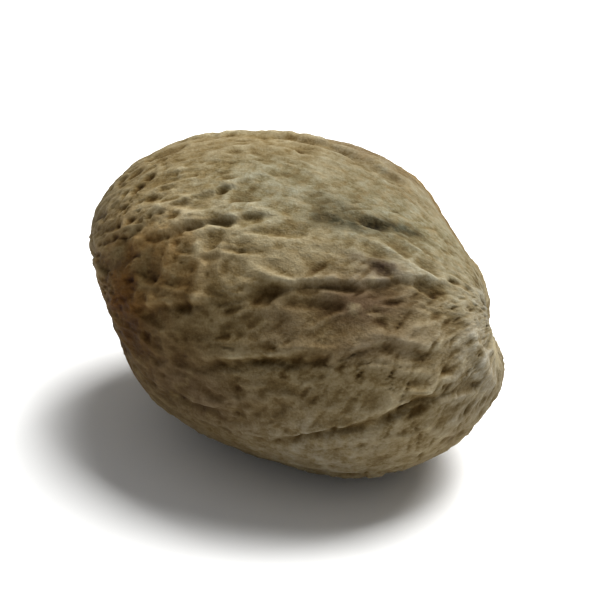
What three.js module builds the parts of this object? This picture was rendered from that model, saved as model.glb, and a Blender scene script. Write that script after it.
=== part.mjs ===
// A whole nutmeg: the dried, shelled seed, one wrinkled ovoid lying on its side.
// Millimetres, +Z up. The long axis runs along X, and the +X end dips a little.
// The seed stands on a small flat foot at z = 0, centred on the origin in plan.
//
// Two frames are used. The body frame is the seed's own: its half sizes lie along
// x, y and z. The standing frame is the body frame with the +X end dipped by END_DIP.

import * as THREE from 'three';
import * as BufferGeometryUtils from 'three/addons/utils/BufferGeometryUtils.js';

// ---- driving dimensions, in millimetres and degrees --------------------------------

const LENGTH = 29.0;            // along x, before the relief
const WIDTH = 21.5;             // along y
const HEIGHT = 18.9;            // along z
const END_DIP = 8;              // how far the +X end dips below level
const FOOT_CUT = 0.5;           // depth of the flat foot
const EYE = { yaw: 20, rise: 13 };   // where the wrinkles meet at the +X end
const GRID = { around: 130, along: 46 };   // faces round the eye axis, and from end to end

// Broad swellings (+) and hollows (-) of the body. Yaw and rise aim at the middle,
// spread is the angle at which the height has dropped to 0.6 of its middle.
const LUMPS = [
  { yaw: 160, rise: 43, spread: 20, height: -0.31 },   // flat above the blunt end
  { yaw: 85, rise: 48, spread: 17, height: 0.56 },     // full shoulder
  { yaw: 54, rise: 34, spread: 8, height: -1.15 },     // step beside the eye
  { yaw: 34, rise: 14, spread: 9, height: -1.0 },      // notch behind the eye
  { yaw: 26, rise: -6, spread: 8, height: 0.31 },      // knob under the notch
  { yaw: 248, rise: -35, spread: 11, height: 0.11 },   // full lower side
  { yaw: 223, rise: -17, spread: 12, height: -1.3 },   // flat below the blunt end
  { yaw: 299, rise: -51, spread: 12, height: -0.36 },  // flat beside the foot
  { yaw: 200, rise: -13, spread: 6, height: -0.74 },   // dimple of the blunt end
];

// Long wrinkles. Each runs from one place to another, given by the distance along the
// eye axis and the angle round it, bows sideways by an angle, and has a crest with a
// trough along its lower side. Round is 0 on top and 90 on the -Y side.
const WRINKLES = [
  { from: -8.5, round: 67, to: 10.5, roundEnd: 38, bow: 4, crest: 0.24, trough: 0.15, width: 0.6 },
  { from: -1.2, round: 80, to: 6.8, roundEnd: 74, bow: -2, crest: 0.22, trough: 0.24, width: 0.6 },
  { from: 6.8, round: 78, to: 11.6, roundEnd: 75, bow: -6, crest: 0.18, trough: 0.2, width: 0.6 },
  { from: -8.4, round: 38, to: -1.2, roundEnd: 8, bow: 0, crest: 0.18, trough: 0.14, width: 0.6 },
  { from: -7.2, round: 43, to: 0.8, roundEnd: 25, bow: -2, crest: 0.18, trough: 0.18, width: 0.6 },
  { from: 4.0, round: 104, to: 12.4, roundEnd: 93, bow: 1, crest: 0.18, trough: 0.32, width: 0.6 },
  { from: -7.0, round: 96, to: 3.5, roundEnd: 90, bow: 4, crest: 0.2, trough: 0.22, width: 0.6 },
  { from: 2.8, round: 18, to: 9.0, roundEnd: 2, bow: 3, crest: 0.0, trough: 0.2, width: 0.8 },
];
const CREST_ABOVE = 1.5;        // a crest's width above its line, in wrinkle widths
const CREST_BELOW = 0.9;        // and below it
const CREST_PLAY = 0.4;         // how much its height swells and sinks along it
const TROUGH_PLACE = 1.3;       // the trough's middle below the line, in wrinkle widths
const TROUGH_WIDTH = 0.9;       // its width in wrinkle widths

// The hidden sides have evenly spaced wrinkles, and each number of them has some play.
const BACK_WRINKLES = {
  count: 8, firstRound: 142, lastRound: 332, crest: 0.22, trough: 0.22, width: 0.6,
  end: 8.5, endPlay: 2.5, roundPlay: 7, turnPlay: 9, bowPlay: 6,
};
const SEAM = { round: 232, depth: 0.45, width: 1.1 };      // furrow from end to end at the back
const EYE_RIM = { radius: 4.2, width: 0.6, height: 0.35, round: 92, reach: 45 };
const END_SPOT = { none: 0.6, whole: 2.6 };    // the relief dies out towards both ends

// Layers over the body. Each is as wide across the seed as named, and long times that
// along it. Hollows have a depth between least and whole, which their own random
// number gives as it goes from one of lots to the other. It is reached at full of the
// way in from their wall. Their floors lean by a share, so that they lie deepest
// towards the lower wall. They are bent by wander and ripple, deepest in two bands
// that run from end to end, and least deep, by a share, far from both.
const HOLLOW = {
  width: 1.6, long: 1.7, depth: 0.28, least: 0.25, full: 0.75, lots: [0.25, 0.95],
  lean: 0.4, wander: 1.0, ripple: 0.4, seed: 31,
};
const HOLLOW_BANDS = [{ round: 48, reach: 45 }, { round: 235, reach: 60 }];
const HOLLOW_LEAST = 0.4;
const FLUTE = { width: 4.6, long: 4.8, height: 0.2 };
const WANDER = { width: 3.4, long: 2.4, wrinkleReach: 0.45 };
const RIPPLE = { width: 1.2, long: 2.2, wrinkleReach: 0.3 };
const GIRTH_RADIUS = 10;        // radius at which the layers have their named width
const GATHER = 0.5;             // how strongly they narrow towards both ends
const SMOOTH_SIDES = [
  { yaw: 62, rise: 44, spread: 24, share: 0.75 },    // shoulder
  { yaw: 292, rise: -38, spread: 20, share: 0.6 },   // side that hangs down
  { yaw: 285, rise: 68, spread: 12, share: 0.6 },    // patch near the top
];
const CREST_LIFT = 0.1;         // brings the crests back out to the named size
const FOOT_FADE = { whole: 14, none: 24 };     // the relief dies out towards the foot

// ---- small helpers -----------------------------------------------------------------

const radians = THREE.MathUtils.degToRad;
const halfSize = new THREE.Vector3(LENGTH, WIDTH, HEIGHT).multiplyScalar(0.5);

function aim({ yaw, rise }) {
  const flat = Math.cos(radians(rise));
  return new THREE.Vector3(
    flat * Math.cos(radians(yaw)),
    flat * Math.sin(radians(yaw)),
    Math.sin(radians(rise)),
  );
}

const bell = (distance, width) => Math.exp(-((distance / width) ** 2));
const bump = (direction, lump) => Math.exp(
  -0.5 * (direction.angleTo(lump.direction) / radians(lump.spread)) ** 2,
);
const between = (low, high, value) => THREE.MathUtils.smoothstep(value, low, high);
const wrapTurn = (degrees) => THREE.MathUtils.euclideanModulo(degrees + 180, 360) - 180;

// ---- repeatable noise --------------------------------------------------------------

// A number from 0 to 1 for one corner of an endless grid, always the same one.
function draw(x, y, z, seed) {
  let bits = Math.imul(x, 0x8da6b343) ^ Math.imul(y, 0xd8163841) ^ Math.imul(z, 0xcb1ab31f);
  bits ^= Math.imul(seed, 0x9e3779b1);
  bits = Math.imul(bits ^ (bits >>> 13), 0x5bd1e995);
  bits = Math.imul(bits ^ (bits >>> 15), 0x27d4eb2d);
  return ((bits ^ (bits >>> 13)) >>> 0) / 4294967296;
}

// Smooth noise from -1 to 1: the grid's numbers, blended across each grid cell.
function smoothNoise(x, y, z, seed) {
  const cell = [Math.floor(x), Math.floor(y), Math.floor(z)];
  const ease = [x, y, z].map((value, axis) => {
    const part = value - cell[axis];
    return part * part * (3 - 2 * part);
  });
  let total = 0;
  for (const i of [0, 1]) {
    for (const j of [0, 1]) {
      for (const k of [0, 1]) {
        const weight = Math.abs(1 - i - ease[0]) * Math.abs(1 - j - ease[1])
          * Math.abs(1 - k - ease[2]);
        total += weight * draw(cell[0] + i, cell[1] + j, cell[2] + k, seed);
      }
    }
  }
  return 2 * total - 1;
}

// Cells round scattered points: how far a place is from the wall between the two
// nearest cells, a number from 0 to 1 that belongs to its own cell, and its step away
// from that cell's point.
function cellAt(x, y, z, seed) {
  const cell = [Math.floor(x), Math.floor(y), Math.floor(z)];
  let nearest = Infinity;
  let second = Infinity;
  let lot = 0;
  let away = [0, 0, 0];
  for (const i of [-1, 0, 1]) {
    for (const j of [-1, 0, 1]) {
      for (const k of [-1, 0, 1]) {
        const at = [cell[0] + i, cell[1] + j, cell[2] + k];
        const point = at.map((corner, axis) => corner + 0.08 + 0.84 * draw(...at, seed + axis));
        const apart = [x - point[0], y - point[1], z - point[2]];
        const distance = Math.hypot(...apart);
        if (distance < nearest) {
          second = nearest;
          nearest = distance;
          lot = draw(...at, seed + 3);
          away = apart;
        } else if (distance < second) {
          second = distance;
        }
      }
    }
  }
  return { gap: second - nearest, lot, away };
}

// ---- the seed's surface ------------------------------------------------------------

// The eye axis and the two directions square to it: level towards +Y, and up.
const eyeAxis = aim(EYE);
const levelAxis = new THREE.Vector3(0, 0, 1).cross(eyeAxis).normalize();
const upAxis = new THREE.Vector3().crossVectors(eyeAxis, levelAxis);

for (const lump of [...LUMPS, ...SMOOTH_SIDES]) lump.direction = aim(lump);

// Wrinkles for the side that hangs down and the back, spaced round it with some play.
function backWrinkles() {
  const { count, firstRound, lastRound, crest, trough, width } = BACK_WRINKLES;
  const { end, endPlay, roundPlay, turnPlay, bowPlay } = BACK_WRINKLES;
  const spacing = (lastRound - firstRound) / (count - 1);
  const wrinkles = [];
  for (let i = 0; i < count; i += 1) {
    const play = [0, 1, 2, 3, 4].map((k) => 2 * draw(i, k, 0, 91) - 1);
    const round = firstRound + spacing * i + roundPlay * play[0];
    wrinkles.push({
      from: endPlay * play[1] - end,
      round,
      to: endPlay * play[2] + end,
      roundEnd: round + turnPlay * play[3],
      bow: bowPlay * play[4],
      crest,
      trough,
      width,
    });
  }
  return wrinkles;
}

const wrinkles = [...WRINKLES, ...backWrinkles()];

// Crests, as high as swell makes them, and troughs of the long wrinkles at one place.
function wrinkleHeight(along, round, radius, swell) {
  let height = 0;
  for (const wrinkle of wrinkles) {
    const share = (along - wrinkle.from) / (wrinkle.to - wrinkle.from);
    if (share > -0.2 && share < 1.2) {
      const middle = wrinkle.round + (wrinkle.roundEnd - wrinkle.round) * share
        + 4 * wrinkle.bow * share * (1 - share);
      const across = radians(wrapTurn(round - middle)) * radius;
      const ends = between(-0.15, 0.15, share) * between(-1.15, -0.85, -share);
      const side = across > 0 ? CREST_BELOW : CREST_ABOVE;
      const beside = across - TROUGH_PLACE * wrinkle.width;
      height += swell * ends * wrinkle.crest * bell(across, side * wrinkle.width);
      height -= ends * wrinkle.trough * bell(beside, TROUGH_WIDTH * wrinkle.width);
    }
  }
  return height;
}

// Net coordinates in widths of a layer, the first one in its lengths, moved by a step.
function layerNoise(net, layer, step, seed) {
  const scaled = net.map((value, axis) => value / (layer.width * (axis ? 1 : layer.long)) + step);
  return smoothNoise(...scaled, seed);
}

// Height of the relief above the smooth body, for a place of the body frame. The net
// is the distance along the eye axis and the two across it, drawn in at both ends.
function relief(direction, place) {
  const along = place.dot(eyeAxis);
  const level = place.dot(levelAxis);
  const up = place.dot(upAxis);
  const radius = Math.hypot(level, up);
  const gather = (GIRTH_RADIUS / Math.hypot(radius, 1)) ** GATHER;
  const net = [along, level * gather, up * gather];
  const wander = [0, 1, 2].map((k) => layerNoise(net, WANDER, 7 * k, 11 + k));
  const ripple = [0, 1, 2].map((k) => layerNoise(net, RIPPLE, 5 * k, 21 + k));

  const shift = (k) => WANDER.wrinkleReach * wander[k] + RIPPLE.wrinkleReach * ripple[k];
  const round = THREE.MathUtils.radToDeg(Math.atan2(-level - shift(1), up + shift(2)));
  const swell = 1 + CREST_PLAY * ripple[0];
  let height = CREST_LIFT + wrinkleHeight(along + wander[0], round, radius, swell);
  height -= SEAM.depth * bell(radians(wrapTurn(round - SEAM.round)) * radius, SEAM.width);

  const onEyeSide = along > 0 ? bell(wrapTurn(round - EYE_RIM.round), EYE_RIM.reach) : 0;
  height += EYE_RIM.height * onEyeSide * bell(radius - EYE_RIM.radius, EYE_RIM.width);

  const bent = net.map((value, k) => {
    const bend = HOLLOW.wander * wander[k] + HOLLOW.ripple * ripple[k];
    return (value / (k ? 1 : HOLLOW.long) + bend) / HOLLOW.width;
  });
  const { gap, lot, away } = cellAt(...bent, HOLLOW.seed);
  const rough = SMOOTH_SIDES.reduce((left, side) => left * (1 - side.share * bump(direction, side)), 1);
  const near = HOLLOW_BANDS.map((band) => bell(wrapTurn(round - band.round), band.reach));
  const banded = HOLLOW_LEAST + (1 - HOLLOW_LEAST) * Math.max(...near);
  const fullness = HOLLOW.least + (1 - HOLLOW.least) * between(...HOLLOW.lots, lot);
  const down = (away[2] * level - away[1] * up) / Math.max(radius, 1);
  const floor = (1 + HOLLOW.lean * THREE.MathUtils.clamp(2 * down, -1, 1)) * fullness;
  height -= HOLLOW.depth * rough * banded * floor * between(0, HOLLOW.full, gap);
  height += FLUTE.height * layerNoise(net, FLUTE, 2.2, 61);
  return height * between(END_SPOT.none, END_SPOT.whole, radius);
}

// The point of the surface that a direction of the unit ball is carried to, standing.
function surfacePoint(direction) {
  const place = direction.clone().multiply(halfSize);
  const normal = direction.clone().divide(halfSize).normalize();
  const dip = new THREE.Matrix4().makeRotationY(radians(END_DIP));

  const fromFoot = THREE.MathUtils.radToDeg(
    normal.clone().applyMatrix4(dip).angleTo(new THREE.Vector3(0, 0, -1)),
  );
  const fade = between(FOOT_FADE.whole, FOOT_FADE.none, fromFoot);
  const lumps = LUMPS.reduce((sum, lump) => sum + lump.height * bump(direction, lump), 0);
  const height = lumps + fade * relief(direction, place);
  return place.addScaledVector(normal, height).applyMatrix4(dip);
}

// A ball whose poles lie on the eye axis, so that its meridians run with the wrinkles.
// Each corner is carried to the surface, and the seed is then cut flat below.
function nutmegGeometry() {
  const ball = new THREE.SphereGeometry(1, GRID.around, GRID.along);
  ball.deleteAttribute('normal');
  ball.deleteAttribute('uv');
  const geometry = BufferGeometryUtils.mergeVertices(ball, 1e-5);
  const eyeDirection = eyeAxis.clone().divide(halfSize).normalize();
  const turn = new THREE.Quaternion().setFromUnitVectors(new THREE.Vector3(0, 1, 0), eyeDirection);
  geometry.applyQuaternion(turn);
  const corners = geometry.attributes.position;
  for (let i = 0; i < corners.count; i += 1) {
    const direction = new THREE.Vector3().fromBufferAttribute(corners, i).normalize();
    corners.setXYZ(i, ...surfacePoint(direction).toArray());
  }

  geometry.computeBoundingBox();
  const { min, max } = geometry.boundingBox;
  const floor = min.z + FOOT_CUT;
  for (let i = 0; i < corners.count; i += 1) {
    corners.setXYZ(
      i,
      corners.getX(i) - (min.x + max.x) / 2,
      corners.getY(i) - (min.y + max.y) / 2,
      Math.max(corners.getZ(i) - floor, 0),
    );
  }
  geometry.computeVertexNormals();
  return geometry;
}

// ---- the part ----------------------------------------------------------------------

function nutmeg() {
  const material = new THREE.MeshStandardMaterial({
    color: 0x86714f,
    roughness: 0.8,
    metalness: 0,
  });
  const mesh = new THREE.Mesh(nutmegGeometry(), material);
  mesh.name = 'nutmeg';
  return mesh;
}

const part = new THREE.Group();
part.add(nutmeg());

export default part;
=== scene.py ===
"""A whole nutmeg on a pale floor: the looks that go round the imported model."""

import math

import bpy
import numpy as np
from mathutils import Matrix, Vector


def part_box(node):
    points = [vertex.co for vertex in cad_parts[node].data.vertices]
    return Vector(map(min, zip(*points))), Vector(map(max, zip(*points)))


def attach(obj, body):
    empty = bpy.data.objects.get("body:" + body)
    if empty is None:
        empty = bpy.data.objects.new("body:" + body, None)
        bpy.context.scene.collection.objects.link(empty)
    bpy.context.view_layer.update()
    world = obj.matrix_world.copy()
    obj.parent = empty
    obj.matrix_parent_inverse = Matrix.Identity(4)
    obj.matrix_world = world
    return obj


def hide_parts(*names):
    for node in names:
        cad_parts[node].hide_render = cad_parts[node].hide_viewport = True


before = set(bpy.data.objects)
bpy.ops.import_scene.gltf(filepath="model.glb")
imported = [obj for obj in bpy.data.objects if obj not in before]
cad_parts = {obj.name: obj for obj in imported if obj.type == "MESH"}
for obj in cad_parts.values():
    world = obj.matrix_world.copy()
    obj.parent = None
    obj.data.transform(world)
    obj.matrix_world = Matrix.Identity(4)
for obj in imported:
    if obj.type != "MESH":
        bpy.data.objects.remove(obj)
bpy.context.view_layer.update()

# ---- driving dimensions, in millimetres and degrees, the large ones as in the solid -

MM = 0.001
LENGTH = 29.0
WIDTH = 21.5
HEIGHT = 18.9
END_DIP = 8
FOOT_CUT = 0.5
EYE = dict(yaw=20, rise=13)

LUMPS = [
    dict(yaw=160, rise=43, spread=20, height=-0.31),
    dict(yaw=85, rise=48, spread=17, height=0.56),
    dict(yaw=54, rise=34, spread=8, height=-1.15),
    dict(yaw=34, rise=14, spread=9, height=-1.0),
    dict(yaw=26, rise=-6, spread=8, height=0.31),
    dict(yaw=248, rise=-35, spread=11, height=0.11),
    dict(yaw=223, rise=-17, spread=12, height=-1.3),
    dict(yaw=299, rise=-51, spread=12, height=-0.36),
    dict(yaw=200, rise=-13, spread=6, height=-0.74),
]

# Each wrinkle's start along the eye axis, the angle round it there, its end and the
# angle there, the bow of its middle in degrees, crest height, trough depth, and width.
WRINKLES = [
    (-8.5, 67, 10.5, 38, 4, 0.24, 0.15, 0.5),
    (-1.2, 80, 6.8, 74, -2, 0.22, 0.24, 0.5),
    (6.8, 78, 11.6, 75, -6, 0.18, 0.2, 0.5),
    (-8.4, 38, -1.2, 8, 0, 0.18, 0.14, 0.5),
    (-7.2, 43, 0.8, 25, -2, 0.18, 0.18, 0.5),
    (4.0, 104, 12.4, 93, 1, 0.18, 0.32, 0.5),
    (-7.0, 96, 3.5, 90, 4, 0.2, 0.22, 0.6),
    (2.8, 18, 9.0, 2, 3, 0.0, 0.2, 0.8),
]
BACK_WRINKLES = dict(
    count=8, first=142, last=332, crest=0.22, trough=0.22, width=0.6,
    end=8.5, end_play=2.5, round_play=7, turn_play=9, bow_play=6, seed=91,
)
SEAM = dict(round=232, depth=0.45, width=1.1)
EYE_RIM = dict(radius=4.2, width=0.6, height=0.35, round=92, reach=45)
END_SPOT = (0.6, 2.6)   # distances from the eye axis over which the relief comes in

# A wrinkle's crest is this many widths wide above its line and below it. Its trough
# lies this many widths below the line and is this many wide. Crests swell and sink by
# the play and crumble, and their lines are frayed. Noise over a stretch of its values
# breaks the troughs into pockets and the pale rims, partly painted highlight, into pieces.
CREST_ABOVE = 1.7
CREST_BELOW = 0.5
CREST_PLAY = 0.4
TROUGH_PLACE = 1.15
TROUGH_WIDTH = 0.75
WRINKLE_FADE = 0.15     # share of a wrinkle's length, at each end and past it
RIM_AND_PAINTED_HIGHLIGHT = dict(width=0.45, stretch=(-0.5, 0.5))
FRAY = dict(width=0.5, long=1.3, reach=0.2, seed=25)
CRUMBLE = dict(width=0.45, long=1.3, play=0.5, seed=27)
POCKET = dict(
    width=0.9, long=1.6, shallow=0.35, deep=1.4, stretch=(-0.3, 0.4), seed=26,
)

# Dimples: cells as wide and long as named, each with a depth between least and whole,
# which goes with its own number from 0 to 1 over the stretch LOTS. A cell's floor
# starts past the gap named clear and is at full depth at full. It leans by a share.
HOLLOW = dict(
    width=1.6, long=1.7, depth=0.28, least=0.25, clear=0.0, full=0.75, lean=0.8,
    wander=1.0, ripple=0.4, seed=31,
)
PIT = dict(
    width=0.64, long=1.6, depth=0.13, least=0.1, clear=0.05, full=0.75, lean=0.3,
    wander=0.5, ripple=0.3, seed=41,
)
SPECK = dict(
    width=0.38, long=1.2, depth=0.09, least=0.1, clear=0.05, full=0.7, lean=0.0,
    wander=0.0, ripple=0.2, seed=51,
)
PORE = dict(
    width=1.05, long=1.25, depth=0.17, least=0.0, clear=0.15, full=0.65, lean=0.3,
    wander=0.3, ripple=0.5, seed=81,
)
LOTS = (0.25, 0.95)
STEEPER = 0.6       # how much nearer a leaning floor comes to its lower wall
CELL_EDGE = 0.08    # least share of a grid step between a cell's point and its grid wall
HOLLOW_BANDS = [dict(round=48, reach=45), dict(round=235, reach=60)]
HOLLOW_LEAST = 0.4  # share of the hollows' depth that is left outside the bands
WALL = dict(gap=0.16, height=0.04)

# Plain noises, with waves as wide and long as named. The wander and the ripple bend
# the wrinkles' lines, the cells and the fibres, and their three ways lie steps apart.
WANDER = dict(width=3.4, long=2.4, wrinkle_reach=0.45, step=7, seed=11)
RIPPLE = dict(width=1.2, long=2.2, wrinkle_reach=0.3, step=5, seed=21)
FLUTE = dict(width=4.6, long=4.8, height=0.2, offset=2.2, seed=61)
FIBRE = dict(
    width=1.3, long=2.4, height=0.1, sharp=5, wander=0.8, ripple=0.25, seed=65,
)
GRIT = dict(width=0.3, long=1.4, height=0.03, share=0.6, finer=0.55, seed=71)

GIRTH_RADIUS = 10
GATHER = 0.5        # power by which the net draws in towards both ends
CORE_RADIUS = 1     # nearer the eye axis than this, distances count as this
SMOOTH_SIDES = [
    dict(yaw=62, rise=44, spread=24, share=0.75),
    dict(yaw=292, rise=-38, spread=20, share=0.6),
    dict(yaw=285, rise=68, spread=12, share=0.6),
]

# Where the pits are deeper and darker, and the hollows less deep. A spot has a
# distance along the eye axis, an angle round it, a length, a width and a share.
PITTED = [
    (7.5, 84, 4.5, 3.5, 0.2),
    (1.0, 104, 4.0, 2.0, 0.4),
    (-7.0, 24, 4.5, 4.5, 0.8),
    (-3.0, 240, 6.0, 6.0, 0.6),
]
# Where the hollows are deeper, and where the pores lie, in the same terms.
DEEPER = [
    (-3.5, 54, 3.5, 4.0, 0.9),
    (-1.0, 84, 4.0, 3.0, 0.5),
]
PORED = [
    (10.0, 76, 5.0, 7.0, 1.0),
    (4.5, 82, 4.5, 5.0, 1.0),
    (-3.0, 64, 4.5, 5.0, 0.6),
    (-3.0, 200, 6.0, 6.0, 0.7),
    (4.0, 300, 5.0, 5.0, 0.7),
]
PIT_SWAP = 0.6      # share of the hollows' depth that full pits take away
PIT_TURN = 0.6      # degrees that rows of pits turn, times the distance along squared
CREST_LIFT = 0.1    # how far skin without relief stands above the smooth body
FOOT_FADE = (14, 24)    # degrees from straight down over which the relief comes in

RINGS = 190         # from eye to blunt end
AROUND = 512        # corners of each ring
FLOOR_HALF = 1500

# ---- looks --------------------------------------------------------------------------

# How light the skin is: the tone of plain skin, what a millimetre or a whole of each
# field adds to it, and what the walls between pits add. The tone falls in dips, troughs,
# hollows, pits and pores and rises on crests, rims and walls: partly the skin's own
# colour, partly painted shade and painted highlight.
PLAIN_TONE = 0.51
TONE_AND_PAINTED_SHADE_SHARES = dict(
    broad=0.2, fine=0.3, rims_and_painted_highlight=0.6, walls=0.04, fibres=0.06,
    pits=-0.18, specks=-0.08, pores=-0.33, troughs=-0.2, hollows=-0.15,
)
PIT_WALL = dict(gap=0.2, tone_and_painted_shade=0.08)
# The dark, warm end of these colours is partly painted shade in pits and troughs.
SKIN_AND_PAINTED_SHADE_COLOURS = (
    (0.02, (0.018, 0.008, 0.0012)),
    (0.26, (0.056, 0.031, 0.0066)),
    (0.45, (0.120, 0.083, 0.033)),
    (0.62, (0.202, 0.1585, 0.0845)),
    (0.90, (0.363, 0.316, 0.200)),
)

# Clouds of the skin, which shift the tone by their shares: waves to the millimetre,
# detail and roughness, and how many waves go along the seed for one across it.
MOTTLE = dict(scale=0.9, detail=5.0, roughness=0.6)
STREAKS = dict(scale=2.4, detail=5.0, roughness=0.6, along=0.5)
GRAIN = dict(scale=7.0, detail=3.0, roughness=0.6)
CRUMBS = dict(scale=2.6, detail=6.0, roughness=0.7, along=0.7)
CLOUD_SHARES = (0.35, 0.35, 0.25)
FINE_BUMP = dict(crumbs=2.0, grain=0.8, strength=0.65, reach=0.1)
ROUGHNESS = dict(low=0.2, high=0.9, to_low=0.62, to_high=0.88)
SHEEN = 0.06
SCAR = dict(spread=5, share=0.8, colour=(0.34, 0.29, 0.18))

# Stains. Each tints the skin where its spots lie, broken up by a cloud with so many
# waves to the millimetre, which covers from none to all over its range. Umber, plum,
# sand and the crease mark are partly painted shade or painted light, as said at each.
STAINS = [
    dict(name="rust", tint=(0.88, 0.60, 0.28), cloud=0.55, range=(0.3, 0.6), spots=[
        (-5.3, 49, 3.2, 2.8, 0.9),
        (-8.2, 62, 3.5, 4.5, 1.0),
        (-4.0, 210, 6.0, 6.0, 0.8),
        (7.0, 300, 4.0, 5.0, 0.6),
    ]),
    # Umber: darker brown, partly the skin's own colour, partly painted shade under the
    # ridges and at the blunt end.
    dict(name="umber_and_painted_shade", tint=(0.48, 0.37, 0.20), cloud=0.8, range=(0.1, 0.45), spots=[
        (-8.0, 75, 5.0, 5.0, 1.0),
        (-3.0, 77, 3.0, 2.6, 0.8),
        (-1.3, 64, 1.8, 1.4, 0.5),
        (1.0, 90, 4.0, 1.5, 0.35),
        (3.8, 60, 1.6, 1.0, 0.4),
        (6.0, 73, 1.6, 1.2, 0.7),
        (4.5, 90, 3.0, 1.5, 0.35),
        (-6.8, 63, 1.8, 2.0, 0.5),
        (8.4, 58, 3.0, 1.8, 0.55),
        (2.0, 265, 6.0, 4.0, 0.8),
    ]),
    # Plum: purple-brown, partly the skin's own colour, partly painted shade in the hollow
    # under the long ridge.
    dict(name="plum_and_painted_shade", tint=(0.50, 0.41, 0.42), cloud=0.8, range=(0.2, 0.45), spots=[
        (7.6, 57, 3.0, 2.0, 1.0),
        (8.6, 72, 3.5, 1.5, 0.6),
        (3.6, 66, 3.0, 2.0, 0.5),
        (-3.0, 96, 5.0, 3.5, 0.8),
        (-3.0, 160, 4.0, 3.0, 0.7),
        (3.0, 320, 4.0, 3.0, 0.5),
    ]),
    dict(name="ash", tint=(1.05, 1.15, 1.50), cloud=1.4, range=(0.2, 0.6), spots=[
        (4.9, 112, 5.0, 4.0, 1.0),
        (13.6, 105, 2.0, 4.0, 1.0),
        (-6.0, 190, 4.0, 4.0, 0.7),
        (5.0, 240, 4.0, 3.0, 0.7),
    ]),
    dict(name="bloom", tint=(0.95, 1.14, 1.46), cloud=1.6, range=(0.15, 0.55), spots=[
        (8.0, -5, 7.0, 7.5, 1.0),
        (1.0, 12, 6.0, 4.0, 0.9),
        (-4.0, 300, 6.0, 5.0, 0.6),
    ]),
    # Sand: paler patches on the upper side, partly the skin's own colour, partly painted
    # light falling from above.
    dict(name="sand_and_painted_light", tint=(1.35, 1.38, 1.42), cloud=1.0, range=(0.2, 0.6), spots=[
        (-5.5, 18, 4.5, 4.0, 1.0),
        (0.0, 33, 5.0, 2.0, 0.7),
        (-3.3, 45, 1.8, 1.4, 0.9),
        (-2.6, 12, 2.2, 2.0, 0.6),
        (8.1, 49, 1.6, 0.8, 0.7),
        (9.2, 2, 1.8, 1.6, 0.6),
        (12.5, 47, 2.0, 2.5, 0.4),
        (-2.0, 330, 5.0, 3.0, 0.8),
    ]),
    # A dark line along the shallow crease near the eye: partly a dark mark, partly painted
    # shade in the crease.
    dict(name="crease_mark_and_painted_shade", tint=(0.20, 0.21, 0.18), cloud=2.2, range=(0.15, 0.5), spots=[
        (4.0, 24, 1.0, 1.0, 0.8),
        (5.0, 23, 1.1, 1.0, 1.0),
        (6.0, 22, 1.1, 0.9, 1.0),
        (6.9, 17, 1.1, 0.9, 1.0),
        (7.9, 12, 1.1, 0.8, 1.0),
        (8.6, 8, 0.9, 0.6, 1.0),
        (4.8, 15, 1.9, 1.2, 0.6),
    ]),
    dict(name="grape", tint=(0.30, 0.24, 0.27), cloud=2.2, range=(0.15, 0.5), spots=[
        (8.2, 41, 0.9, 0.6, 1.0),
        (6.7, 39, 0.7, 0.4, 0.5),
    ]),
]

FLOOR_CLOUD = dict(scale=6.0, detail=2.0)
FLOOR_COLOURS = ((0.3, (0.80, 0.80, 0.79)), (0.7, (0.83, 0.83, 0.82)))
FLOOR_ROUGHNESS = 0.9


# ---- small helpers ------------------------------------------------------------------


def unit(vectors):
    """Each vector over its own length."""
    vectors = np.asarray(vectors, float)
    return vectors / np.linalg.norm(vectors, axis=-1, keepdims=True)


def aim(yaw, rise, **_):
    """The unit vector at an angle round from +X and an angle above level."""
    yaw, rise = math.radians(yaw), math.radians(rise)
    flat = math.cos(rise)
    return np.array([flat * math.cos(yaw), flat * math.sin(yaw), math.sin(rise)])


def between(low, high, value):
    """0 below low, 1 above high, and a smooth S from one to the other."""
    share = np.clip((value - low) / (high - low), 0, 1)
    return share * share * (3 - 2 * share)


def bell(distance, width):
    """exp(-(distance / width) squared)."""
    return np.exp(-((distance / width) ** 2))


def bump(directions, spot):
    """A bell of the angle from the spot's middle, with the spot's spread."""
    angle = np.degrees(np.arccos(np.clip(directions @ aim(**spot), -1, 1)))
    return np.exp(-0.5 * (angle / spot["spread"]) ** 2)


def wrap_turn(degrees):
    """The same angle between -180 and 180."""
    return (degrees + 180) % 360 - 180


def max_of(fields):
    """The largest of some fields at each place."""
    return np.max(np.stack(list(fields)), axis=0)


# ---- repeatable noise ---------------------------------------------------------------


def draw(x, y, z, seed):
    """A number from 0 to 1 for each corner of an endless grid, by mixing 32 bits."""
    x, y, z, seed = (
        np.asarray(value).astype(np.int64).astype(np.uint32) for value in (x, y, z, seed)
    )
    with np.errstate(over="ignore"):
        bits = x * np.uint32(0x8DA6B343)
        bits = bits ^ (y * np.uint32(0xD8163841))
        bits = bits ^ (z * np.uint32(0xCB1AB31F))
        bits = bits ^ (seed * np.uint32(0x9E3779B1))
        bits = (bits ^ (bits >> np.uint32(13))) * np.uint32(0x5BD1E995)
        bits = (bits ^ (bits >> np.uint32(15))) * np.uint32(0x27D4EB2D)
        bits = bits ^ (bits >> np.uint32(13))
    return bits / 2**32


def neighbours(first, last):
    """Every step (i, j, k) with each of the three from first to last."""
    steps = range(first, last + 1)
    return [(i, j, k) for i in steps for j in steps for k in steps]


def smooth_noise(points, seed):
    """Noise from -1 to 1: each grid cell's eight numbers, blended by smooth weights."""
    cell = np.floor(points)
    part = points - cell
    part = part * part * (3 - 2 * part)
    total = 0
    for step in neighbours(0, 1):
        weight = np.prod(np.where(step, part, 1 - part), axis=-1)
        total = total + weight * draw(*np.moveaxis(cell + step, -1, 0), seed)
    return 2 * total - 1


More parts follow.
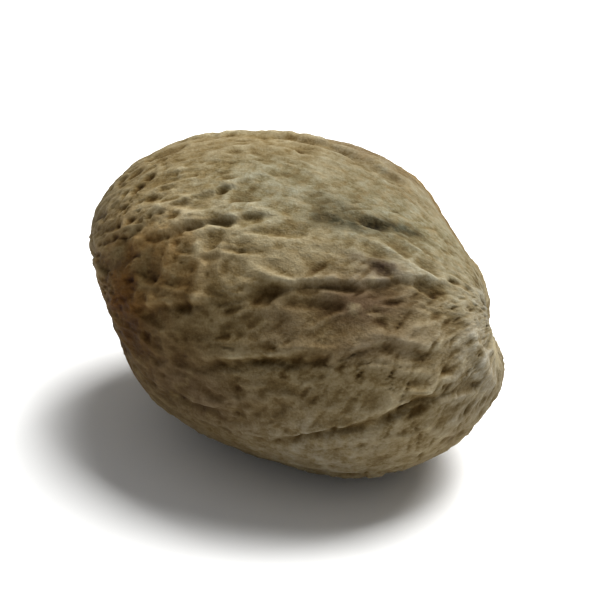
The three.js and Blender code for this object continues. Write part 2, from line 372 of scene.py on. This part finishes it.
def cells(points, seed):
    """Cells round scattered points: the second least distance to a point less the
    least one, which is 0 on a wall, a number from 0 to 1 for the own cell, and the
    place's step away from the cell's own point."""
    cell = np.floor(points)
    nearest = np.full(points.shape[:-1], np.inf)
    second = nearest.copy()
    lot = np.zeros_like(nearest)
    away = np.zeros_like(points)
    for step in neighbours(-1, 1):
        at = cell + step
        corner = np.moveaxis(at, -1, 0)
        offset = np.stack([draw(*corner, seed + axis) for axis in range(3)], axis=-1)
        apart = points - (at + CELL_EDGE + (1 - 2 * CELL_EDGE) * offset)
        distance = np.linalg.norm(apart, axis=-1)
        lot = np.where(distance < nearest, draw(*corner, seed + 3), lot)
        away = np.where((distance < nearest)[..., None], apart, away)
        second = np.minimum(second, np.maximum(nearest, distance))
        nearest = np.minimum(nearest, distance)
    return second - nearest, lot, away


# ---- the seed's surface -------------------------------------------------------------

HALF = np.array([LENGTH, WIDTH, HEIGHT]) / 2
EYE_AXIS = aim(**EYE)
LEVEL_AXIS = unit(np.cross([0, 0, 1], EYE_AXIS))
UP_AXIS = np.cross(EYE_AXIS, LEVEL_AXIS)


def back_wrinkles():
    """Wrinkles for the hidden sides, spaced evenly round them with some play."""
    back = BACK_WRINKLES
    made = []
    spacing = (back["last"] - back["first"]) / (back["count"] - 1)
    for i in range(back["count"]):
        play = 2 * draw(i, np.arange(5), 0, back["seed"]) - 1
        around = back["first"] + spacing * i + back["round_play"] * play[0]
        made.append((
            back["end_play"] * play[1] - back["end"], around,
            back["end_play"] * play[2] + back["end"], around + back["turn_play"] * play[3],
            back["bow_play"] * play[4], back["crest"], back["trough"], back["width"],
        ))
    return made


def across_from(middle, around, radius):
    """How far round the seed each place lies from an angle, in millimetres."""
    return np.radians(wrap_turn(around - middle)) * radius


def wrinkle_height(along, around, radius):
    """Crest and trough heights: for each wrinkle a bell of the distance across its
    line, steeper on its lower side, and a bell below it, both faded out at the
    wrinkle's ends. Rims are the same crests, but narrow, for their pale colour, which
    is partly painted highlight."""
    crests, troughs, rims_and_painted_highlight = 0, 0, 0
    for start, first, end, last, bow, crest, trough, width in WRINKLES + back_wrinkles():
        share = (along - start) / (end - start)
        middle = first + (last - first) * share + 4 * bow * share * (1 - share)
        across = across_from(middle, around, radius)
        ends = between(-WRINKLE_FADE, WRINKLE_FADE, share)
        ends = ends * between(-1 - WRINKLE_FADE, WRINKLE_FADE - 1, -share)
        side = np.where(across > 0, CREST_BELOW, CREST_ABOVE)
        below = across - TROUGH_PLACE * width
        crests = crests + ends * crest * bell(across, side * width)
        troughs = troughs + ends * trough * bell(below, TROUGH_WIDTH * width)
        rims_and_painted_highlight = np.maximum(rims_and_painted_highlight, ends * crest * bell(across, RIM_AND_PAINTED_HIGHLIGHT["width"] * width))
    return crests, troughs, rims_and_painted_highlight


def stretched(net, layer):
    """The net's coordinates in widths of a layer, its first one in lengths."""
    return net / (layer["width"] * np.array([layer["long"], 1, 1]))


def layer_noise(net, layer):
    """Noise from -1 to 1 with waves as wide and long as the layer's."""
    return smooth_noise(stretched(net, layer) + layer.get("offset", 0), layer["seed"])


def bend_noise(net, layer):
    """Three noises of the layer, one for each way in which a place can move."""
    ways = [
        smooth_noise(stretched(net, layer) + layer["step"] * way, layer["seed"] + way)
        for way in range(3)
    ]
    return np.stack(ways, axis=-1)


def dimples(net, downhill, wander, ripple, layer):
    """How far down each place lies in a layer of cells, and its gap from the cell's
    wall. Each cell has its own depth, and many of them are shallow. Its floor leans:
    it sinks slowly from the upper wall and rises steeply to the lower one."""
    bend = layer["wander"] * wander + layer["ripple"] * ripple
    bent = net + bend * (layer["long"], 1, 1)
    gap, lot, away = cells(stretched(bent, layer), layer["seed"])
    share = layer["least"] + (1 - layer["least"]) * between(*LOTS, lot)
    lean = layer["lean"] * np.clip(2 * np.sum(away * downhill, axis=-1), -1, 1)
    floor = between(layer["clear"], layer["full"] * (1 - STEEPER * lean), gap)
    return share * (1 + lean) * floor, gap


def patches(along, around, radius, spots):
    """The most that any spot gives: its share times a bell of the distance from its
    middle, along over its length and across over its width."""
    value = 0
    for place, turn, length, width, share in spots:
        across = across_from(turn, around, radius)
        apart = np.hypot((along - place) / length, across / width)
        value = np.maximum(value, share * bell(apart, 1))
    return value


def relief(directions, places):
    """Everything the skin does above the smooth body, in millimetres, with the fields
    that its colours follow. The tone made of them is partly painted shade in the dips
    and painted highlight on the crests, besides the skin's own colour.

    A net of coordinates (distance along the eye axis, and the two across it, drawn in
    towards both ends) is bent by two noises. Cells of that net are the hollows, pits,
    specks and pores, each as deep as its own lot says. Wrinkles, seam and rim follow
    the same bends, and flutes, fibres and grit are plain noise."""
    along, level, up = places @ EYE_AXIS, places @ LEVEL_AXIS, places @ UP_AXIS
    radius = np.hypot(level, up)
    held_radius = np.maximum(radius, CORE_RADIUS)
    gather = (GIRTH_RADIUS / np.hypot(radius, CORE_RADIUS)) ** GATHER
    net = np.stack([along, level * gather, up * gather], axis=-1)
    wander, ripple = bend_noise(net, WANDER), bend_noise(net, RIPPLE)

    shift = WANDER["wrinkle_reach"] * wander + RIPPLE["wrinkle_reach"] * ripple
    around = np.degrees(np.arctan2(-level - shift[..., 1], up + shift[..., 2]))
    frayed = around + np.degrees(FRAY["reach"] * layer_noise(net, FRAY) / held_radius)
    crests, troughs, rims_and_painted_highlight = wrinkle_height(along + wander[..., 0], frayed, radius)
    crumble = layer_noise(net, CRUMBLE)
    crests = (1 + CREST_PLAY * ripple[..., 0] + CRUMBLE["play"] * crumble) * crests
    rims_and_painted_highlight = between(*RIM_AND_PAINTED_HIGHLIGHT["stretch"], ripple[..., 0] + crumble) * rims_and_painted_highlight
    pockets = between(*POCKET["stretch"], layer_noise(net, POCKET))
    pockets = POCKET["shallow"] + (POCKET["deep"] - POCKET["shallow"]) * pockets
    troughs = troughs * pockets
    seam = across_from(SEAM["round"], around, radius)
    seam = SEAM["depth"] * bell(seam, SEAM["width"])
    rim = EYE_RIM["height"] * bell(wrap_turn(around - EYE_RIM["round"]), EYE_RIM["reach"])
    rim = rim * bell(radius - EYE_RIM["radius"], EYE_RIM["width"]) * (along > 0)

    rough = 1
    for side in SMOOTH_SIDES:
        rough = rough * (1 - side["share"] * bump(directions, side))
    band = max_of(
        bell(wrap_turn(around - band["round"]), band["reach"]) for band in HOLLOW_BANDS
    )
    where = (along, around, radius)
    pitted = patches(*where, PITTED)
    banded = rough * (HOLLOW_LEAST + (1 - HOLLOW_LEAST) * band) * (1 - PIT_SWAP * pitted)
    banded = banded * (1 + patches(*where, DEEPER))

    turn = np.radians(PIT_TURN * np.maximum(along, 0) ** 2)
    turned = np.stack([
        along,
        gather * (np.cos(turn) * level - np.sin(turn) * up),
        gather * (np.cos(turn) * up + np.sin(turn) * level),
    ], axis=-1)
    downhill = np.stack([np.zeros_like(up), -up, level], axis=-1) / held_radius[..., None]
    bends = (downhill, wander, ripple)
    hollows, gap = dimples(net, *bends, HOLLOW)
    pits, pit_gap = dimples(turned, *bends, PIT)
    specks, _ = dimples(turned, *bends, SPECK)
    pores, _ = dimples(net, *bends, PORE)
    hollows = banded * hollows
    walls = banded * bell(gap, WALL["gap"])
    pits = rough * (1 + pitted) * pits
    specks = (1 + pitted) * specks
    pores = patches(*where, PORED) * pores

    flute = FLUTE["height"] * layer_noise(net, FLUTE)
    bent = FIBRE["wander"] * wander * (FIBRE["long"], 1, 1)
    bent = net + bent + FIBRE["ripple"] * ripple
    fibres = rough * (1 - np.abs(layer_noise(bent, FIBRE))) ** FIBRE["sharp"]
    grit_net = stretched(net, GRIT)
    grit = GRIT["share"] * smooth_noise(grit_net, GRIT["seed"])
    finer = smooth_noise(grit_net / GRIT["finer"], GRIT["seed"] + 1)
    grit = grit + (1 - GRIT["share"]) * finer

    broad = CREST_LIFT + crests + rim + flute - troughs - seam - HOLLOW["depth"] * hollows
    broad = broad * between(*END_SPOT, radius)
    fine = WALL["height"] * walls + FIBRE["height"] * fibres + GRIT["height"] * grit
    fine = fine - PIT["depth"] * pits - SPECK["depth"] * specks - PORE["depth"] * pores
    fine = fine - fine.mean()

    fields = dict(
        broad=broad, fine=fine, rims_and_painted_highlight=rims_and_painted_highlight, walls=walls, fibres=fibres,
        pits=pits, specks=specks, pores=pores, troughs=troughs, hollows=hollows,
    )
    # Painted shade and highlight: the tone darkens in the relief's dips and pales on its
    # crests.
    tone_and_painted_shade = PLAIN_TONE
    for name, share in TONE_AND_PAINTED_SHADE_SHARES.items():
        tone_and_painted_shade = tone_and_painted_shade + share * fields[name]
    tone_and_painted_shade = tone_and_painted_shade + PIT_WALL["tone_and_painted_shade"] * pitted * bell(pit_gap, PIT_WALL["gap"])
    stains = {stain["name"]: patches(*where, stain["spots"]) for stain in STAINS}
    return dict(broad=broad, fine=fine, tone_and_painted_shade=tone_and_painted_shade, net=net, stains=stains)


def dip(vectors):
    """The vectors turned about Y so that +X sinks by the end dip."""
    cos, sin = math.cos(math.radians(END_DIP)), math.sin(math.radians(END_DIP))
    x, y, z = np.moveaxis(vectors, -1, 0)
    return np.stack([cos * x + sin * z, y, cos * z - sin * x], axis=-1)


def ball():
    """Directions of a ball on a grid: rings at even angles from the eye to the blunt
    end, each with even steps round it, so that grid lines run with the wrinkles."""
    pole = unit(EYE_AXIS / HALF)
    side = unit(np.cross([0, 0, 1], pole))
    other = np.cross(pole, side)
    tilt = np.linspace(0, math.pi, RINGS + 1)[:, None, None]
    turn = np.linspace(0, 2 * math.pi, AROUND, endpoint=False)[None, :, None]
    return np.cos(tilt) * pole + np.sin(tilt) * (np.cos(turn) * side + np.sin(turn) * other)


def nutmeg_surface():
    """The standing surface, in millimetres: each direction of the ball times the half
    sizes, moved along the body's normal by lumps and relief, dipped, and cut by the
    floor. The relief fades out where the seed meets the floor."""
    directions = ball()
    normals = unit(directions / HALF)
    places = directions * HALF
    skin = relief(directions, places)
    lumps = sum(lump["height"] * bump(directions, lump) for lump in LUMPS)
    from_foot = np.degrees(np.arccos(np.clip(-dip(normals)[..., 2], -1, 1)))
    fade = between(*FOOT_FADE, from_foot)
    height = lumps + fade * (skin["broad"] + skin["fine"])
    surface = dip(places + normals * height[..., None])
    low, high = surface.min(axis=(0, 1)), surface.max(axis=(0, 1))
    surface[..., :2] -= (low[:2] + high[:2]) / 2
    surface[..., 2] = np.maximum(surface[..., 2] - low[2] - FOOT_CUT, 0)
    return surface, directions, skin


def corner_rows(rings):
    """A grid's values with one row for each corner of the mesh: the first and the last
    ring are one corner each."""
    inner = rings[1:-1].reshape(-1, rings.shape[-1])
    return np.concatenate([rings[:1, 0], inner, rings[-1:, 0]])


def closed_mesh(name, rings):
    """A closed mesh of a grid of rings whose first and last are one point each:
    fans of triangles at both ends, and four-sided faces between the other rings."""
    count, around = rings.shape[:2]
    points = corner_rows(rings)
    here = np.arange(around)
    after = (here + 1) % around
    start = 1 + around * np.arange(count - 3)[:, None]
    quads = np.stack([
        start + here, start + around + here, start + around + after, start + after,
    ], axis=-1).reshape(-1, 4)
    last = len(points) - 1
    first_fan = np.stack([np.zeros_like(here), 1 + here, 1 + after], axis=-1)
    last_fan = np.stack([
        np.full_like(here, last), last - around + after, last - around + here,
    ], axis=-1)
    corners = np.concatenate([first_fan.ravel(), quads.ravel(), last_fan.ravel()])
    sides = np.concatenate([np.full(around, 3), np.full(len(quads), 4), np.full(around, 3)])

    mesh = bpy.data.meshes.new(name)
    mesh.vertices.add(len(points))
    mesh.vertices.foreach_set("co", points.astype(np.float32).ravel())
    mesh.loops.add(len(corners))
    mesh.loops.foreach_set("vertex_index", corners.astype(np.int32))
    mesh.polygons.add(len(sides))
    mesh.polygons.foreach_set("loop_start", (np.cumsum(sides) - sides).astype(np.int32))
    mesh.polygons.foreach_set("use_smooth", np.ones(len(sides), bool))
    mesh.update(calc_edges=True)
    return mesh


def keep(mesh, name, rings):
    """Stores a value, or three, for every corner of the mesh under a name."""
    wide = rings.ndim == 3
    values = corner_rows(rings if wide else rings[..., None]).astype(np.float32)
    attribute = mesh.attributes.new(name, "FLOAT_VECTOR" if wide else "FLOAT", "POINT")
    attribute.data.foreach_set("vector" if wide else "value", values.ravel())


# ---- materials ----------------------------------------------------------------------


class Nodes:
    """A material's node tree, with short calls to add and join nodes."""

    def __init__(self, name):
        self.material = bpy.data.materials.new(name)
        self.material.use_nodes = True
        self.tree = self.material.node_tree
        self.shader = self.tree.nodes["Principled BSDF"]

    def put(self, socket, value):
        """Joins an output to an input, or writes a number or colour into it."""
        if isinstance(value, bpy.types.NodeSocket):
            self.tree.links.new(value, socket)
        else:
            socket.default_value = value

    def add(self, kind, *inputs, **settings):
        """A node of a kind; inputs fill its sockets in order, None leaves one alone."""
        node = self.tree.nodes.new("ShaderNode" + kind)
        for key, value in settings.items():
            setattr(node, key, value)
        for socket, value in zip(node.inputs, inputs):
            if value is not None:
                self.put(socket, value)
        return node

    def math(self, operation, first, second=0.0):
        """One sum of two numbers."""
        return self.add("Math", first, second, operation=operation).outputs[0]

    def stored(self, name, vector=False):
        """The value stored on the mesh under a name."""
        node = self.add("Attribute", attribute_name=name)
        return node.outputs["Vector" if vector else "Fac"]

    def noise(self, where, scale, detail=4.0, roughness=0.55, along=None):
        """Cloudy noise from 0 to 1 with a number of waves to the unit. Where along is
        given, it has that many waves the first way for each wave across."""
        if along is not None:
            where = self.add("Mapping", where, None, None, (along, 1, 1)).outputs[0]
        node = self.add("TexNoise")
        inputs = dict(Vector=where, Scale=scale, Detail=detail, Roughness=roughness)
        for key, value in inputs.items():
            self.put(node.inputs[key], value)
        return node.outputs[0]

    def ramp(self, value, stops):
        """Colours along a number: stops are (place, (red, green, blue))."""
        node = self.add("ValToRGB", value)
        elements = node.color_ramp.elements
        while len(elements) < len(stops):
            elements.new(0.5)
        for element, (place, colour) in zip(elements, stops):
            element.position = place
            element.color = (*colour, 1)
        return node.outputs[0]

    def remap(self, value, low, high, to_low=0.0, to_high=1.0):
        """The value's stretch from low to high carried to another, and held there."""
        return self.add("MapRange", value, low, high, to_low, to_high).outputs[0]

    def mix(self, share, first, second, blend="MIX"):
        """The second colour over the first by a share. A mix node's colours go into its
        sockets 6 and 7 and come out of its socket 2."""
        node = self.add("Mix", data_type="RGBA", blend_type=blend)
        for socket, value in ((0, share), (6, first), (7, second)):
            value = (*value, 1) if isinstance(value, tuple) else value
            self.put(node.inputs[socket], value)
        return node.outputs[2]


def seed_skin():
    """Dry nutmeg skin: dark in pits and hollows and pale on crests, which is partly its
    own colour and partly painted shade and painted highlight; streaked, mottled and
    stained, with a pale scar at the eye."""
    n = Nodes("seed_skin")
    net = n.stored("net", vector=True)
    tone_and_painted_shade = n.stored("tone_and_painted_shade")

    clouds = [n.noise(net, **cloud) for cloud in (MOTTLE, STREAKS, GRAIN)]
    for cloud, share in zip(clouds, CLOUD_SHARES):
        shift = n.math("MULTIPLY", n.math("SUBTRACT", cloud, 0.5), share)
        tone_and_painted_shade = n.math("ADD", tone_and_painted_shade, shift)
    colour = n.ramp(tone_and_painted_shade, SKIN_AND_PAINTED_SHADE_COLOURS)

    for stain in STAINS:
        cloud = n.remap(n.noise(net, stain["cloud"]), *stain["range"])
        cover = n.math("MULTIPLY", n.stored(stain["name"]), cloud)
        colour = n.mix(cover, colour, stain["tint"], "MULTIPLY")
    colour = n.mix(n.stored("scar"), colour, SCAR["colour"])

    n.put(n.shader.inputs["Base Color"], colour)
    n.put(n.shader.inputs["Roughness"], n.remap(tone_and_painted_shade, **ROUGHNESS))
    n.put(n.shader.inputs["Specular IOR Level"], SHEEN)

    crumbs = n.math("MULTIPLY", n.noise(net, **CRUMBS), FINE_BUMP["crumbs"])
    grain = n.math("MULTIPLY", clouds[-1], FINE_BUMP["grain"])
    bump_node = n.add("Bump")
    n.put(bump_node.inputs["Strength"], FINE_BUMP["strength"])
    n.put(bump_node.inputs["Distance"], FINE_BUMP["reach"] * MM)
    n.put(bump_node.inputs["Height"], n.math("ADD", crumbs, grain))
    n.put(n.shader.inputs["Normal"], bump_node.outputs[0])
    return n.material


def floor_paint():
    """Matt off-white board with the faintest unevenness."""
    n = Nodes("floor_paint")
    cloud = n.noise(n.add("TexCoord").outputs["Object"], **FLOOR_CLOUD)
    n.put(n.shader.inputs["Base Color"], n.ramp(cloud, FLOOR_COLOURS))
    n.put(n.shader.inputs["Roughness"], FLOOR_ROUGHNESS)
    return n.material


# ---- pieces -------------------------------------------------------------------------


def nutmeg():
    """The seed's skin as one closed mesh, with the values its colours follow."""
    surface, directions, skin = nutmeg_surface()
    mesh = closed_mesh("nutmeg_skin", surface * MM)
    keep(mesh, "tone_and_painted_shade", skin["tone_and_painted_shade"])
    keep(mesh, "net", skin["net"])
    for name, cover in skin["stains"].items():
        keep(mesh, name, cover)
    keep(mesh, "scar", SCAR["share"] * bump(directions, dict(EYE, spread=SCAR["spread"])))
    mesh.materials.append(seed_skin())
    piece = bpy.data.objects.new("nutmeg_skin", mesh)
    bpy.context.scene.collection.objects.link(piece)
    return piece


def floor():
    """A wide flat board at the height the seed stands on."""
    half = FLOOR_HALF * MM
    corners = [(-half, -half, 0), (half, -half, 0), (half, half, 0), (-half, half, 0)]
    mesh = bpy.data.meshes.new("floor")
    mesh.from_pydata(corners, [], [(0, 1, 2, 3)])
    mesh.materials.append(floor_paint())
    board = bpy.data.objects.new("floor", mesh)
    bpy.context.scene.collection.objects.link(board)
    return board


# ---- light and camera ---------------------------------------------------------------

CAMERA = dict(azimuth=40.2, elevation=30.0, distance=210.0, field=37.0)
SENSOR = 36     # width of the film, in millimetres
NEAREST = 10    # distance from the camera at which things begin to show
KEY = dict(right=0.32, up=0.9, away=0.3, distance=450.0, size=300.0, watts=5.4)
SURROUND = dict(colour=(1, 1, 1, 1), strength=0.3)


def camera_axes():
    """Unit vectors to the right of the view, up it, and from the seed to the camera."""
    azimuth, elevation = math.radians(CAMERA["azimuth"]), math.radians(CAMERA["elevation"])
    right = Vector((math.cos(azimuth), math.sin(azimuth), 0))
    back = Vector((
        math.sin(azimuth) * math.cos(elevation),
        -math.cos(azimuth) * math.cos(elevation),
        math.sin(elevation),
    ))
    return right, back.cross(right), back


def place_looking(thing, at, target):
    """Puts a camera or light somewhere, looking at the target."""
    holder = bpy.data.objects.new(thing.name, thing)
    holder.location = at
    holder.rotation_euler = (target - at).to_track_quat("-Z", "Y").to_euler()
    bpy.context.scene.collection.objects.link(holder)
    return holder


def soft_light(name, at, target, size, watts):
    """A square soft box."""
    lamp = bpy.data.lights.new(name, "AREA")
    lamp.size = size
    lamp.energy = watts
    return place_looking(lamp, at, target)


def studio(middle):
    """A high soft box behind and to the right, an even pale surround, and the camera."""
    right, _, back = camera_axes()
    towards = right * KEY["right"] + Vector((0, 0, KEY["up"])) - back * KEY["away"]
    lamp_at = middle + towards.normalized() * KEY["distance"] * MM
    soft_light("key", lamp_at, middle, KEY["size"] * MM, KEY["watts"])

    world = bpy.data.worlds.new("surround")
    world.use_nodes = True
    background = world.node_tree.nodes["Background"]
    background.inputs["Color"].default_value = SURROUND["colour"]
    background.inputs["Strength"].default_value = SURROUND["strength"]
    bpy.context.scene.world = world

    lens = bpy.data.cameras.new("camera")
    lens.sensor_width = SENSOR
    lens.lens = SENSOR * CAMERA["distance"] / CAMERA["field"]
    lens.clip_start = NEAREST * MM
    camera_at = middle + back * CAMERA["distance"] * MM
    bpy.context.scene.camera = place_looking(lens, camera_at, middle)
    bpy.context.scene.view_settings.view_transform = "Standard"


# ---- the scene ----------------------------------------------------------------------

skin = nutmeg()
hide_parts("nutmeg")
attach(skin, "root")
floor()
low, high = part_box("nutmeg")
studio((low + high) / 2)
